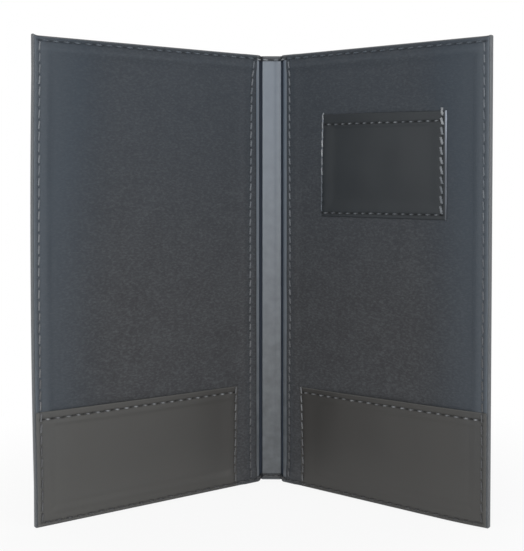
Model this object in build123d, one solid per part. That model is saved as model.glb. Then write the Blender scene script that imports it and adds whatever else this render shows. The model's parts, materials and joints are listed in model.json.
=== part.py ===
from build123d import *
from math import cos, sin, radians
import os

# A guest check presenter: two stiff sewn leaves and a spine, standing open like a book.
# +Z is up, the open side faces -Y and the spine is at the back. Lengths in mm, angles in degrees.
#
# Most pieces are drawn on the right leaf while it lies flat: u runs out from its crease line,
# w runs towards the reader from the inner side of the cover sheet, and z runs up. on_side()
# then folds the piece forward and stands it on the right or, mirrored, on the left.

# Overall
leaf_height = 254.0
leaf_width = 140.0              # crease line to outer edge
crease_spacing = 12.9           # between the two crease lines
fold_angle = 37.0               # each leaf stands this far forward of flat
corner_radius = 0.8             # the leaves' outer corners
edge_radius = 0.6               # where the cover sheet folds round a board

# Sheet stock
cover_thickness = 0.7           # grained leatherette outside
board_thickness = 1.6           # stiff greyboard in each leaf
spine_board_thickness = 1.0
strip_thickness = 0.5           # smooth leatherette strip inside the spine
lining_thickness = 0.5          # textured lining inside each leaf
pocket_leather = 0.5
thread_width = 0.7

# Spine and creases
crease_allowance = 1.8          # crease line to the spine board
fold_clearance = 0.45           # shut, a leaf's board stays this far off the spine
cover_fold_reach = 2.0          # how far out the cover sheet flexes
wing_width = 10.0               # the strip's glued wing on each leaf
spine_hem = 2.9                 # cover sheet turned over the strip's two ends
spine_foot = 1.1                # between the boards the cover sheet is drawn in at the foot
spine_head = leaf_height - 0.4  # and a little at the top

# Leaf
turn_in = 8.0                   # cover sheet folded over the board's edges
lining_inset = 0.8              # lining to the leaf's edge
lining_start = 5.4              # crease line to the lining's inner edge

# Bill pocket, at the bottom of each leaf
bill_pocket_start = 17.4        # crease line to its inner edge
bill_pocket_top = 60.0
bill_side_flange = 3.2          # turned side edge, flat on the lining
rim_flange = 5.6                # flat band caught in the rim seam

# Card pocket, on the right leaf
card_pocket_start = 31.0
card_pocket_width = 83.5
card_pocket_height = 58.0
card_pocket_drop = 36.6         # leaf's top edge to the pocket's mouth
card_near_flange = 2.6          # spine side
card_far_flange = 4.4           # outer side
card_sill_flange = 4.0

# Both kinds of pocket
card_room = 0.9                 # clear depth for a card behind the hem
hem_depth = 7.0                 # turned-in top edge

# Seams: distances from the edge or crease they follow, and stitch lengths
rim_seam_side = 3.2             # from the outer edge
rim_seam_end = 2.3              # from the top and bottom edges
rim_pitch = 5.85
hinge_seam = 8.6                # from the crease line
hinge_pitch = 5.2
bill_side_seam = 1.4
bill_hem_seam = 3.9
bill_pitch = 5.4
card_near_seam = 1.3
card_far_seam = 2.9
card_sill_seam = 2.3
card_hem_seam = 5.6
card_pitch = 5.2
needle_gap = 1.0                # bare gap between two stitches, at the needle hole
channel_width = 0.9             # dent that the outside stitches are pulled into, flush with it

# Worked out from the sizes above
half_spacing = crease_spacing / 2
spine_half = half_spacing - crease_allowance
spine_face = spine_board_thickness + strip_thickness
hem_face = spine_face + cover_thickness
thread_rise = thread_width / 2
channel_floor = thread_rise - cover_thickness
board_start = hem_face + thread_rise + fold_clearance
rim_seam_start = lining_start + thread_width
spine_seams = (spine_foot + rim_seam_end, spine_head - rim_seam_end)
turn_in_face = board_thickness + cover_thickness
lining_face = board_thickness + lining_thickness
pocket_ceiling = lining_face + card_room + pocket_leather
card_pocket_end = card_pocket_start + card_pocket_width
card_pocket_top = leaf_height - card_pocket_drop
card_pocket_sill = card_pocket_top - card_pocket_height


def slab(u0, u1, z0, z1, w0, w1):
    # A block on the flat leaf.
    block = Box(u1 - u0, w1 - w0, z1 - z0, align=(Align.MIN, Align.MIN, Align.MIN))
    return Pos(u0, -w1, z0) * block


def on_side(shape, side):
    # Folds a flat leaf's piece forward about its crease and puts it on its side of the spine.
    folded = Pos(half_spacing, 0, 0) * Rot(0, 0, -fold_angle) * shape
    return folded if side == "right" else mirror(folded, about=Plane.YZ)


# A layered sheet is a list of plateaus (u0, u1, z0, z1, top): each says how high the sheet's
# face stands there. A sheet laid over plateaus climbs each of them by its own thickness.

def laid_over(plateaus, region, thickness):
    u0, u1, z0, z1 = region
    climbed = []
    for a0, a1, b0, b1, top in plateaus:
        spread = thickness if top > board_thickness else 0
        b = (max(u0, a0 - spread), min(u1, a1 + spread), max(z0, b0 - spread), min(z1, b1 + spread))
        if b[0] < b[1] and b[2] < b[3]:
            climbed.append((*b, top + thickness))
    return climbed


def raised(plateaus):
    # The plateaus as one solid, standing on the board's face.
    blocks = [slab(*p[:4], board_thickness, p[4]) for p in plateaus if p[4] > board_thickness]
    return blocks[0].fuse(*blocks[1:]) if len(blocks) > 1 else blocks[0]


def face_at(plateaus, u, z):
    # Height of the topmost sheet at one spot.
    return max(p[4] for p in plateaus if p[0] <= u <= p[1] and p[2] <= z <= p[3])


board_plateau = [(board_start, leaf_width, 0, leaf_height, board_thickness)]
turn_in_plateaus = [
    (board_start, leaf_width, 0, turn_in, turn_in_face),
    (board_start, leaf_width, leaf_height - turn_in, leaf_height, turn_in_face),
    (leaf_width - turn_in, leaf_width, 0, leaf_height, turn_in_face),
]
wing_region = (board_start, board_start + wing_width, lining_inset, leaf_height - lining_inset)
wing_plateaus = laid_over(board_plateau + turn_in_plateaus, wing_region, strip_thickness)
lining_region = (lining_start, leaf_width - lining_inset, lining_inset, leaf_height - lining_inset)
under_lining = board_plateau + turn_in_plateaus + wing_plateaus
lining_plateaus = laid_over(under_lining, lining_region, lining_thickness)

bill_region = (bill_pocket_start, leaf_width - lining_inset, lining_inset, bill_pocket_top)
bill_cavity = (
    bill_pocket_start + bill_side_flange,
    leaf_width - rim_flange,
    rim_flange,
    bill_pocket_top,
    pocket_ceiling,
)
bill_turned_edge = (
    bill_pocket_start,
    bill_pocket_start + bill_side_flange,
    lining_inset,
    bill_pocket_top,
    lining_face + 2 * pocket_leather,
)
bill_plateaus = laid_over(lining_plateaus + [bill_cavity], bill_region, pocket_leather)
bill_plateaus.append(bill_turned_edge)

card_cavity = (
    card_pocket_start + card_near_flange,
    card_pocket_end - card_far_flange,
    card_pocket_sill + card_sill_flange,
    card_pocket_top,
    pocket_ceiling,
)
card_region = (card_pocket_start, card_pocket_end, card_pocket_sill, card_pocket_top)
card_plateaus = laid_over([card_cavity], card_region, pocket_leather)
card_plateaus.append((*card_region, lining_face + 2 * pocket_leather))


def channel(u0, u1, z0, z1):
    # A dent in the back of the cover sheet, along one row of stitches.
    half = channel_width / 2
    return slab(u0 - half, u1 + half, z0 - half, z1 + half, -cover_thickness, channel_floor)


def make_board():
    # Greyboard stiffener, cut to fill the cover sheet's fold on three sides.
    board = slab(
        board_start,
        leaf_width - cover_thickness,
        cover_thickness,
        leaf_height - cover_thickness,
        0,
        board_thickness,
    )
    corners = board.edges().filter_by(Axis.Y).group_by(Axis.X)[-1]
    return fillet(corners, max(corner_radius - cover_thickness, 0.1))


def make_cover():
    # Leatherette sheet behind the board, folded round three edges and turned in over its face.
    wrap = slab(cover_fold_reach, leaf_width, 0, leaf_height, -cover_thickness, turn_in_face)
    wrap = fillet(wrap.edges().filter_by(Axis.Y).group_by(Axis.X)[-1], corner_radius)
    rims = wrap.faces().filter_by(Axis.Y).edges()
    wrap = fillet([e for e in rims if e.center().X > cover_fold_reach + edge_radius], edge_radius)
    window = slab(
        board_start,
        leaf_width - turn_in,
        turn_in,
        leaf_height - turn_in,
        board_thickness,
        turn_in_face,
    )
    past_board = slab(cover_fold_reach, board_start, 0, leaf_height, 0, turn_in_face)
    side = leaf_width - rim_seam_side
    low = rim_seam_end
    high = leaf_height - rim_seam_end
    dents = [
        channel(rim_seam_start, side, low, low),
        channel(rim_seam_start, side, high, high),
        channel(side, side, low, high),
        channel(hinge_seam, hinge_seam, low, high),
    ]
    return wrap - make_board() - window - past_board - dents


def make_wing():
    # The spine strip's wing, glued over the board's inner edge and the turn-ins there.
    return raised(wing_plateaus) - raised(turn_in_plateaus)


def make_lining():
    # Textured lining, stepping up over the turn-ins and the wing.
    return raised(lining_plateaus) - raised(turn_in_plateaus + wing_plateaus)


def make_hem(cavity):
    # The pocket's top edge, turned in behind its front.
    u0, u1, z0, top_edge, ceiling = cavity
    return slab(u0, u1, top_edge - hem_depth, top_edge, ceiling - pocket_leather, ceiling)


def make_bill_pocket():
    # Open at the top, flat on the lining along the other three sides.
    front = raised(bill_plateaus) - raised(lining_plateaus) - raised([bill_cavity])
    return front + make_hem(bill_cavity)


def make_card_pocket():
    # Open at the top, its other three edges turned under and sewn to the lining.
    lining = slab(*card_region, board_thickness, lining_face)
    front = raised(card_plateaus) - lining - raised([card_cavity])
    return front + make_hem(card_cavity)


def make_spine_board():
    low = spine_foot + cover_thickness
    high = spine_head - cover_thickness
    return slab(-spine_half, spine_half, low, high, 0, spine_board_thickness)


def make_spine_strip():
    # Smooth leatherette facing of the spine, between the two creases.
    low = spine_foot + cover_thickness
    high = spine_head - cover_thickness
    return slab(-spine_half, spine_half, low, high, spine_board_thickness, spine_face)


def make_spine_cover():
    # The cover sheet behind the spine board, turned over its ends and over the strip's ends.
    wrap = slab(-spine_half, spine_half, spine_foot, spine_head, -cover_thickness, hem_face)
    wrap = fillet(wrap.edges().filter_by(Axis.X), edge_radius)
    low = spine_foot + spine_hem
    high = spine_head - spine_hem
    window = slab(-spine_half, spine_half, low, high, spine_face, hem_face)
    dents = [channel(-spine_half, spine_half, z, z) for z in spine_seams]
    return wrap - make_spine_board() - make_spine_strip() - window - dents


def spine_point(s, w):
    # s runs from the right crease line towards the middle of the spine.
    return (half_spacing - s, -w)


def leaf_point(u, w):
    # The same for the right leaf, folded forward.
    turn = radians(fold_angle)
    return (half_spacing + u * cos(turn) - w * sin(turn), -u * sin(turn) - w * cos(turn))


def bend_point(w):
    # Where the spine's and the leaf's lines at height w meet, above the crease line.
    half_turn = radians(fold_angle / 2)
    return (half_spacing - w / cos(half_turn) * sin(half_turn), -w)


def upright(outline, z0, z1, side):
    # An outline on the ground, raised from z0 to z1.
    block = Pos(0, 0, z0) * extrude(outline, amount=z1 - z0, dir=(0, 0, 1))
    return block if side == "right" else mirror(block, about=Plane.YZ)


def make_cover_fold(side):
    # The cover sheet's flexing stretch, wrapped round the outside of the crease.
    t = cover_thickness
    half_turn = radians(fold_angle / 2)
    outside = (half_spacing + t * sin(half_turn), t * cos(half_turn))
    outline = make_face([
        Line(spine_point(crease_allowance, 0), bend_point(0)),
        Line(bend_point(0), leaf_point(cover_fold_reach, 0)),
        Line(leaf_point(cover_fold_reach, 0), leaf_point(cover_fold_reach, -t)),
        Line(leaf_point(cover_fold_reach, -t), leaf_point(0, -t)),
        ThreePointArc(leaf_point(0, -t), outside, spine_point(0, -t)),
        Line(spine_point(0, -t), spine_point(crease_allowance, -t)),
        Line(spine_point(crease_allowance, -t), spine_point(crease_allowance, 0)),
    ])
    return upright(outline, spine_foot, spine_head, side)


def make_strip_fold(side):
    # The strip's stretch that dips into the crease between the spine board and the leaf's board.
    t = strip_thickness
    near = crease_allowance
    corners = [
        spine_point(near, spine_board_thickness),
        spine_point(near, 0),
        bend_point(0),
        leaf_point(board_start, 0),
        leaf_point(board_start, board_thickness),
        leaf_point(board_start, board_thickness + t),
        leaf_point(board_start - t, board_thickness + t),
        leaf_point(board_start - t, t),
        bend_point(t),
        spine_point(near - t, t),
        spine_point(near - t, spine_face),
        spine_point(near, spine_face),
    ]
    outline = make_face(Polyline(*corners, close=True))
    return upright(outline, spine_foot + cover_thickness, spine_head - cover_thickness, side)


def stitch(length, along):
    # One stitch: a length of thread, flat where it lies on the sheet, pulled round above it.
    thread = Cylinder(thread_rise, length, rotation=(0, 90, 0) if along == "u" else (0, 0, 0))
    reach = length + thread_width
    return thread & (Pos(0, -reach / 2, 0) * Box(reach, reach, reach))


def stitch_row(along, start, end, fixed, pitch, seat, outside=False):
    # Stitches from start to end, each seated on the highest sheet under its ends and middle.
    count = max(1, round((end - start) / pitch))
    step = (end - start) / count
    length = step - needle_gap
    shape = stitch(length, along)
    if outside:
        shape = Rot(0, 0, 180) * shape
    row = []
    for i in range(count):
        middle = start + (i + 0.5) * step
        spots = [middle - length / 2, middle, middle + length / 2]
        places = [(s, fixed) if along == "u" else (fixed, s) for s in spots]
        rise = max(seat(u, z) for u, z in places)
        u, z = places[1]
        row.append(Pos(u, -rise, z) * shape)
    return row


def inside_leaf(u, z):
    # Height of the lining, or of the bill pocket where that covers it.
    return face_at(board_plateau + turn_in_plateaus + lining_plateaus + bill_plateaus, u, z)


def on_card_pocket(u, z):
    return face_at(card_plateaus, u, z)


def back_of_cover(u, z):
    # The outside stitches lie on the floor of their channels.
    return channel_floor


def on_spine_hem(x, z):
    return hem_face


def rim_rows(seat, outside=False):
    # Along the bottom, the outer side and the top of a leaf.
    side = leaf_width - rim_seam_side
    low = rim_seam_end
    high = leaf_height - rim_seam_end
    rows = stitch_row("u", rim_seam_start, side, low, rim_pitch, seat, outside)
    rows += stitch_row("u", rim_seam_start, side, high, rim_pitch, seat, outside)
    return rows + stitch_row("z", low, high, side, rim_pitch, seat, outside)


def hinge_row(seat, outside=False):
    # Up the inner edge of a leaf, between its two rim rows.
    low = rim_seam_end + thread_width
    return stitch_row("z", low, leaf_height - low, hinge_seam, hinge_pitch, seat, outside)


def bill_hem_row():
    height = bill_pocket_top - bill_hem_seam
    end = leaf_width - rim_seam_side - thread_width
    start = bill_pocket_start + bill_side_seam + thread_width
    return stitch_row("u", start, end, height, bill_pitch, inside_leaf)


def bill_side_row():
    low = rim_seam_end + thread_width
    column = bill_pocket_start + bill_side_seam
    return stitch_row("z", low, bill_pocket_top - thread_width, column, bill_pitch, inside_leaf)


def card_hem_row():
    near = card_pocket_start + card_near_seam + thread_width
    far = card_pocket_end - card_far_seam - thread_width
    return stitch_row("u", near, far, card_pocket_top - card_hem_seam, card_pitch, on_card_pocket)


def card_edge_rows():
    near = card_pocket_start + card_near_seam
    far = card_pocket_end - card_far_seam
    low = card_pocket_sill + card_sill_seam
    high = card_pocket_top - thread_width
    rows = stitch_row("u", near + thread_width, far - thread_width, low, card_pitch, on_card_pocket)
    for column in (near, far):
        rows += stitch_row("z", low, high, column, card_pitch, on_card_pocket)
    return rows


def spine_rows(seat, outside=False):
    # The rim seam's run across the two ends of the spine.
    reach = spine_half - thread_width / 4
    low, high = spine_seams
    rows = stitch_row("u", -reach, reach, low, rim_pitch, seat, outside)
    return rows + stitch_row("u", -reach, reach, high, rim_pitch, seat, outside)


def thread_group(rows, side=None):
    group = Compound(rows)
    return on_side(group, side) if side else group


def make_parts():
    parts = {
        "spine_board": make_spine_board(),
        "spine_cover": make_spine_cover(),
        "spine_strip": make_spine_strip(),
        "spine_thread_inside": thread_group(spine_rows(on_spine_hem)),
        "spine_thread_outside": thread_group(spine_rows(back_of_cover, True)),
        "card_pocket": on_side(make_card_pocket(), "right"),
        "card_pocket_hem_thread": thread_group(card_hem_row(), "right"),
        "card_pocket_edge_thread": thread_group(card_edge_rows(), "right"),
    }
    for side in ("left", "right"):
        parts[f"{side}_board"] = on_side(make_board(), side)
        parts[f"{side}_cover"] = on_side(make_cover(), side)
        parts[f"{side}_cover_fold"] = make_cover_fold(side)
        parts[f"{side}_strip_fold"] = make_strip_fold(side)
        parts[f"{side}_strip_wing"] = on_side(make_wing(), side)
        parts[f"{side}_lining"] = on_side(make_lining(), side)
        parts[f"{side}_bill_pocket"] = on_side(make_bill_pocket(), side)
        parts[f"{side}_rim_thread_inside"] = thread_group(rim_rows(inside_leaf), side)
        parts[f"{side}_rim_thread_outside"] = thread_group(rim_rows(back_of_cover, True), side)
        parts[f"{side}_hinge_thread_inside"] = thread_group(hinge_row(inside_leaf), side)
        parts[f"{side}_hinge_thread_outside"] = thread_group(hinge_row(back_of_cover, True), side)
        parts[f"{side}_bill_hem_thread"] = thread_group(bill_hem_row(), side)
        parts[f"{side}_bill_side_thread"] = thread_group(bill_side_row(), side)
    return parts


# The origin is the middle of the ground that the open presenter covers.
parts = make_parts()
extent = Compound(list(parts.values())).bounding_box()
middle = extent.center()
os.makedirs("parts", exist_ok=True)
for name, shape in parts.items():
    export_step(Pos(-middle.X, -middle.Y, 0) * shape, f"parts/{name}.step")
print(f"crease lines at x = {half_spacing:.3f} and {-half_spacing:.3f}, y = {-middle.Y:.4f}")
print(f"width {extent.size.X:.2f}, depth {extent.size.Y:.2f}, height {extent.size.Z:.2f}")
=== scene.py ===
import bmesh
import bpy
import json
import math
import numpy as np
from functools import partial
from mathutils import Matrix, Vector


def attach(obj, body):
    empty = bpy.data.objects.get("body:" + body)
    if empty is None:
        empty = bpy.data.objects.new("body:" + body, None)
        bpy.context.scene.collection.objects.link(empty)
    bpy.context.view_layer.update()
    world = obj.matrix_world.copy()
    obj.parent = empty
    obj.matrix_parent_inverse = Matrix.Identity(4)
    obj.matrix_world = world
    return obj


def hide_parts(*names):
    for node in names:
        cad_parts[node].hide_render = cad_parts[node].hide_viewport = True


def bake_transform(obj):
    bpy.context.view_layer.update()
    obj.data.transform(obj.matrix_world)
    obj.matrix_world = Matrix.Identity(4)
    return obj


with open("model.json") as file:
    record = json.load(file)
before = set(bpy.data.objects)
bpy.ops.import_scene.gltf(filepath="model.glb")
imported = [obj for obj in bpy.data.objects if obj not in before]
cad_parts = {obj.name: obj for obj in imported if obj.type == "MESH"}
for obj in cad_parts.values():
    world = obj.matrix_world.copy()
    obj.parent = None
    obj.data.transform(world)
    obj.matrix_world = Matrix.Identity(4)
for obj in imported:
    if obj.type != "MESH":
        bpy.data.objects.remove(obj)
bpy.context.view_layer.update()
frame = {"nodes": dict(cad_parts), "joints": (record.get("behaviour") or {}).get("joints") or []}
scene = bpy.context.scene

# Guest check presenter: two sewn leaves and a spine, standing open like a book.
# Sheets are drawn flat, in millimetres: q runs out from the crease line (minus is on the
# spine), w towards the reader from the inner side of the cover sheet, and z up.

folder = {
    "height": 254.0,
    "leafWidth": 140.0,
    "halfSpine": 6.45,      # spine's middle to a crease line
    "bendStart": 1.8,       # the sheets flex from here on the spine
    "bendEnd": 2.0,         # to here on the leaf
    "boardFace": 1.6,
    "spineFace": 1.5,       # spine's thinner board and the strip on it
    "turnIn": 8.0,          # cover sheet folded over the boards' edges
    "wingEnd": 13.0,        # spine strip's wing, under the lining
    "coverThick": 0.7,
    "sheetThick": 0.5,      # strip, lining and pocket leatherette
}
wide, tall = folder["leafWidth"], folder["height"]
coverThick, sheetThick = folder["coverThick"], folder["sheetThick"]
halfSpine = folder["halfSpine"]
hinge = {j["name"]: j for j in frame["joints"]}["right_leaf_hinge"]
creaseX, creaseY = (c * 1000 for c in hinge["pos_m"][:2])
foldAngle = math.radians(-hinge["range_deg"][0])
mirrored = {"left": -1, "right": 1}


def addObject(name, data):
    thing = bpy.data.objects.new(name, data)
    scene.collection.objects.link(thing)
    return thing


# camera: the photograph's, 0.6 m off and a little above the middle

view = {"place": (35.1, -556.0, 180.0), "yaw": 0.22, "pitch": 1.61, "roll": 0.1,
        "focalPixels": 1004.0, "centre": (326.0, 208.7), "width": 524, "height": 551}


def makeCamera():
    data = bpy.data.cameras.new("photoCamera")
    data.sensor_width = 36.0
    data.lens = view["focalPixels"] / view["height"] * data.sensor_width
    data.shift_x = (view["width"] / 2 - view["centre"][0]) / view["height"]
    data.shift_y = (view["centre"][1] - view["height"] / 2) / view["height"]
    data.clip_start = 0.01
    camera = addObject("photoCamera", data)
    camera.location = Vector(view["place"]) / 1000
    turn, tilt, roll = (
        Matrix.Rotation(math.radians(angle), 4, axis) for angle, axis in
        ((view["yaw"], "Z"), (90 - view["pitch"], "X"), (view["roll"], "Z")))
    camera.rotation_euler = (turn @ tilt @ roll).to_euler()
    scene.camera = camera


makeCamera()
print("camera in place")


# materials

def linear(hexColour):
    rgb = [int(hexColour[i:i + 2], 16) / 255 for i in (1, 3, 5)]
    return [c / 12.92 if c <= 0.04045 else ((c + 0.055) / 1.055) ** 2.4 for c in rgb] + [1]


def addNode(owner, kind, values={}, links={}, **settings):
    node = owner.node_tree.nodes.new(kind)
    for key, value in settings.items():
        setattr(node, key, value)
    for key, value in values.items():
        node.inputs[key].default_value = value
    for key, source in links.items():
        owner.node_tree.links.new(source, node.inputs[key])
    return node


def emptied(owner):
    # Clears the nodes of a material or the world, and gives what adds a node to it
    owner.use_nodes = True
    owner.node_tree.nodes.clear()
    return partial(addNode, owner)


def newMaterial(name):
    material = bpy.data.materials.new(name)
    return material, emptied(material)


def finished(material, shader):
    addNode(material, "ShaderNodeOutputMaterial", {}, {"Surface": shader.outputs[0]})
    return material


def marksOf(add):
    # What each mesh says of a spot: its flat place in millimetres, wear and painted highlights,
    # painted shade, painted cool light
    marks = {"restPlace": "Vector", "rubbed": "Fac", "sunk": "Fac", "cool": "Fac"}
    return [add("ShaderNodeAttribute", attribute_name=mark).outputs[socket]
            for mark, socket in marks.items()]


def toned(add, look, cloud, **layers):
    # A finish from dark to light by a cloud, then its other colours, each by its share
    ramp = add("ShaderNodeValToRGB", {}, {"Fac": cloud})
    for element, at, colour in zip(ramp.color_ramp.elements, (0.3, 0.7), ("dark", "light")):
        element.position = at
        element.color = linear(look[colour])
    tone = ramp.outputs["Color"]
    for colour, share in layers.items():
        tone = add("ShaderNodeMix", {7: linear(look[colour])}, {0: share, 6: tone},
                   data_type="RGBA").outputs[2]
    return tone


def warped(add, place, size, share):
    # The flat place pushed about by a soft noise, so that a grain of this size runs uneven
    noise = add("ShaderNodeTexNoise", {"Scale": share / size, "Detail": 2.0}, {"Vector": place})
    push = add("ShaderNodeVectorMath", {"Scale": size}, {0: noise.outputs["Color"]},
               operation="SCALE")
    return add("ShaderNodeVectorMath", {}, {0: place, 1: push.outputs[0]},
               operation="ADD").outputs[0]


def embossed(add, grain, fine, depth, fineStrength, fineShare, invert):
    # A grain, depth in millimetres, with a finer unevenness over it
    first = add("ShaderNodeBump", {"Distance": depth / 1000},
                {"Height": grain.outputs["Distance"]}, invert=invert)
    return add("ShaderNodeBump", {"Strength": fineStrength, "Distance": depth * fineShare / 1000},
               {"Height": fine.outputs["Fac"], "Normal": first.outputs["Normal"]}).outputs[0]


def leatherette(name, look):
    # Polyurethane leatherette, coated on cloth and rolled with a grain: satin, with soft
    # gloss on the pebbles and a duller bottom to the grain; painted highlights on folds and
    # edges, painted shade in pits and creases, and a painted cool light
    material, add = newMaterial(name)
    place, rubbed, sunk, cool = marksOf(add)
    size = look["grainSize"]
    clouds = add("ShaderNodeTexNoise", {"Scale": 1 / look["cloudSize"], "Detail": 3.0},
                 {"Vector": place})
    pebbles = add("ShaderNodeTexVoronoi", {"Scale": 1 / size},
                  {"Vector": warped(add, place, size, 0.6)}, feature="SMOOTH_F1")
    fine = add("ShaderNodeTexNoise", {"Scale": 3 / size, "Detail": 4.0}, {"Vector": place})
    rough = add("ShaderNodeMapRange",
                {"To Min": look["rough"] - 0.06, "To Max": look["rough"] + 0.08},
                {"Value": fine.outputs["Fac"]})
    duller = add("ShaderNodeMath", {1: 0.5}, {0: sunk, 2: rough.outputs[0]},
                 operation="MULTIPLY_ADD", use_clamp=True)
    shader = add("ShaderNodeBsdfPrincipled",
                 {"IOR": look["ior"], "Coat Weight": look["coat"], "Coat Roughness": 0.35},
                 {"Base Color": toned(add, look, clouds.outputs["Fac"], cool=cool, worn=rubbed,
                                      pit=sunk),
                  "Roughness": duller.outputs[0],
                  "Normal": embossed(add, pebbles, fine, look["grainDepth"], 0.6, 1 / 3, True)})
    return finished(material, shader)


def crinkledLining(name, look):
    # Vinyl lining, calendered with a shallow crinkled grain: dull, charcoal, its tiny folds
    # running across the leaf, with painted shade between them and painted glints on them, and a
    # painted cool light towards the top and rim, where the stretched grain fades.
    material, add = newMaterial(name)
    place, rubbed, sunk, cool = marksOf(add)
    size = look["foldSize"]
    clouds = add("ShaderNodeTexNoise", {"Scale": 1 / look["cloudSize"], "Detail": 4.0},
                 {"Vector": place})
    drawn = add("ShaderNodeVectorMath", {1: (1 / look["foldLength"], 1.0, 1.0)},
                {0: warped(add, place, size, 0.5)}, operation="MULTIPLY")
    folds = add("ShaderNodeTexVoronoi", {"Scale": 1 / size}, {"Vector": drawn.outputs[0]},
                feature="DISTANCE_TO_EDGE")
    fine = add("ShaderNodeTexNoise", {"Scale": 1.2 / size, "Detail": 5.0},
               {"Vector": drawn.outputs[0]})
    # painted shade between the grain's folds
    between = add("ShaderNodeMapRange",
                  {"From Max": 0.16, "To Min": look["creaseShare"], "To Max": 0.0},
                  {"Value": folds.outputs["Distance"]})
    # painted glints on the grain's folds
    speckle = add("ShaderNodeMapRange",
                  {"From Min": 0.45, "From Max": 0.75, "To Max": look["speckShare"]},
                  {"Value": fine.outputs["Fac"]})
    slack = add("ShaderNodeMapRange", {"To Min": 1.0, "To Max": look["stretchedGrain"]},
                {"Value": cool})
    creased, specked = (
        add("ShaderNodeMath", {}, {0: grain.outputs[0], 1: slack.outputs[0]},
            operation="MULTIPLY").outputs[0] for grain in (between, speckle))
    duller = add("ShaderNodeMath", {1: 0.3, 2: look["rough"]}, {0: sunk},
                 operation="MULTIPLY_ADD", use_clamp=True)
    shader = add("ShaderNodeBsdfPrincipled", {"IOR": look["ior"]},
                 {"Base Color": toned(add, look, clouds.outputs["Fac"], cool=cool,
                                      crease=creased, speck=specked, worn=rubbed, pit=sunk),
                  "Roughness": duller.outputs[0],
                  "Normal": embossed(add, folds, fine, look["foldDepth"], 0.7, 1 / 2, False)})
    return finished(material, shader)


def polyesterThread(name, look):
    # Bonded polyester thread, two plies twisted: dark and slightly shiny along the strand,
    # with painted highlights on the stitches' middles and painted shade near the holes.
    material, add = newMaterial(name)
    place, rubbed, sunk, cool = marksOf(add)
    fibres = add("ShaderNodeTexNoise", {"Scale": 1 / look["fibreSize"], "Detail": 3.0},
                 {"Vector": place})
    bump = add("ShaderNodeBump", {"Strength": 0.8, "Distance": 0.00004},
               {"Height": fibres.outputs["Fac"]})
    shader = add("ShaderNodeBsdfPrincipled",
                 {"IOR": 1.4, "Roughness": look["rough"], "Sheen Weight": 0.1},
                 {"Base Color": toned(add, look, fibres.outputs["Fac"], cool=cool, worn=rubbed,
                                      pit=sunk),
                  "Normal": bump.outputs["Normal"]})
    return finished(material, shader)


def recycledBoard(name, look):
    # Greyboard, pressed from recycled paper: matt grey with paler and darker fibre flecks.
    material, add = newMaterial(name)
    flecks = add("ShaderNodeTexNoise", {"Scale": 1000 / look["fleckSize"], "Detail": 6.0},
                 {"Vector": add("ShaderNodeTexCoord").outputs["Object"]})
    bump = add("ShaderNodeBump", {"Strength": 0.5, "Distance": 0.0001},
               {"Height": flecks.outputs["Fac"]})
    shader = add("ShaderNodeBsdfPrincipled", {"Roughness": 0.9},
                 {"Base Color": toned(add, look, flecks.outputs["Fac"]),
                  "Normal": bump.outputs["Normal"]})
    return finished(material, shader)


# In each look, pit is the colour of painted shade in needle holes and creases, worn the colour of
# painted highlights, and cool the colour of a painted cool light
coverLeatherette = leatherette("coverLeatherettePebbleGrain", {
    "dark": "#2b2e31", "light": "#323538", "cool": "#2b3035", "worn": "#585b5e", "pit": "#101214",
    "rough": 0.45, "coat": 0.1, "ior": 1.45,
    "grainSize": 1.1, "grainDepth": 0.12,       # grain is nearer 0.7 mm, coarser here to show
    "cloudSize": 30.0,
})
stripLeatherette = leatherette("spineLeatheretteSmooth", {
    "dark": "#4a4e51", "light": "#5d6165", "cool": "#4c5c6d", "worn": "#70777f", "pit": "#182230",
    "rough": 0.34, "coat": 0.0, "ior": 1.57,
    "grainSize": 0.6, "grainDepth": 0.02, "cloudSize": 5.0,
})
billLeatherette = leatherette("pocketLeatheretteSmooth", {
    "dark": "#211f1d", "light": "#252321", "cool": "#232527", "worn": "#5f5f5d", "pit": "#0c0c0c",
    "rough": 0.5, "coat": 0.0, "ior": 1.42,
    "grainSize": 0.6, "grainDepth": 0.02, "cloudSize": 26.0,
})
cardLeatherette = leatherette("cardPocketLeatheretteSmooth", {
    "dark": "#1a1f23", "light": "#1f2428", "cool": "#1b2127", "worn": "#a3abb7", "pit": "#050607",
    "rough": 0.5, "coat": 0.0, "ior": 1.42,
    "grainSize": 0.6, "grainDepth": 0.02, "cloudSize": 22.0,
})
liningVinyl = crinkledLining("liningVinylCrinkleGrain", {
    "dark": "#303032", "light": "#38393b", "cool": "#2b343d", "worn": "#565d64", "pit": "#0e1012",
    "crease": "#0e1012", "creaseShare": 0.35, "speck": "#56585b", "speckShare": 0.45,
    "rough": 0.68, "ior": 1.42,
    "stretchedGrain": 0.35,                     # how much of the grain is left at the rim
    "foldSize": 1.2, "foldLength": 1.9,         # folds are nearer 0.6 mm, coarser here to show
    "foldDepth": 0.06, "cloudSize": 12.0,
})
seamThread = polyesterThread("bondedPolyesterThread", {
    "dark": "#2b2b2c", "light": "#3c3c3e", "cool": "#3a434c", "worn": "#9fa2a5", "pit": "#040405",
    "rough": 0.35, "fibreSize": 0.35,
})
greyboard = recycledBoard("greyboardPressed", {
    "dark": "#7d7a74", "light": "#989489", "fleckSize": 1.2,
})
print("materials made")


# flat shapes: heights of the layered sheets, in millimetres

def smooth(x, start, end):
    t = np.clip((x - start) / (end - start), 0, 1)
    return t * t * (3 - 2 * t)


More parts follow.
